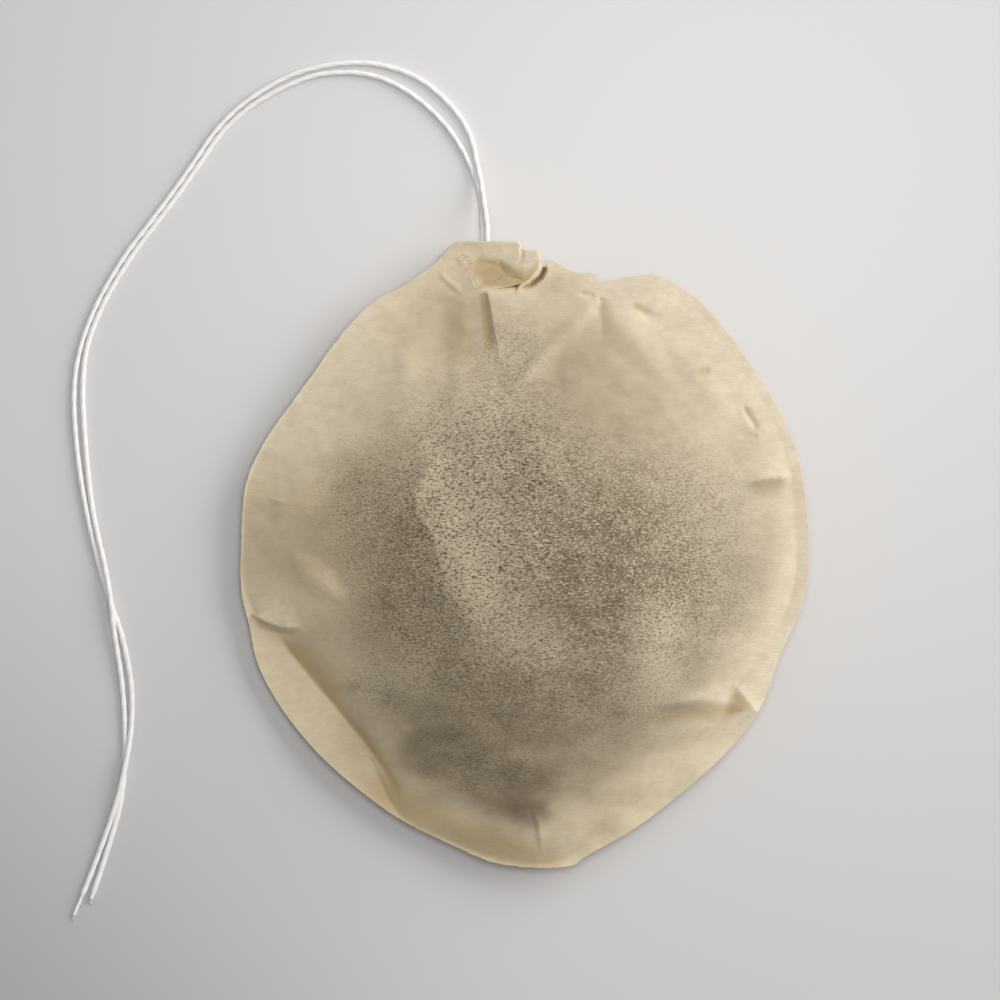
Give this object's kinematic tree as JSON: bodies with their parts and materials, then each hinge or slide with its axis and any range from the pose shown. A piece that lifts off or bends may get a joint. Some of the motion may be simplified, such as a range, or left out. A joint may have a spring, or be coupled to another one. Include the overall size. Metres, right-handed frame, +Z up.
{
  "type": "round drawstring filter pouch",
  "caption": "Filled round pouch of thin unbleached filter paper with coffee grounds inside, gathered at its mouth by a drawstring whose two free ends lie loose beside it.",
  "frame": {"origin": "middle of the pouch's box, on the table under it, the string left out", "axes": "+Z up from the table, +Y towards the gathered mouth, +X to the right as seen from above"},
  "size_m": [0.117, 0.1359, 0.0192],
  "materials": {
    "filter_paper": "matt unbleached fibre paper",
    "ground_coffee": "matt dark brown grains",
    "cotton_string": "matt white twisted cotton"
  },
  "bodies": {
    "root": {"filter_pouch": "filter_paper", "coffee_grounds": "ground_coffee", "drawstring": "cotton_string"}
  },
  "joints": []
}
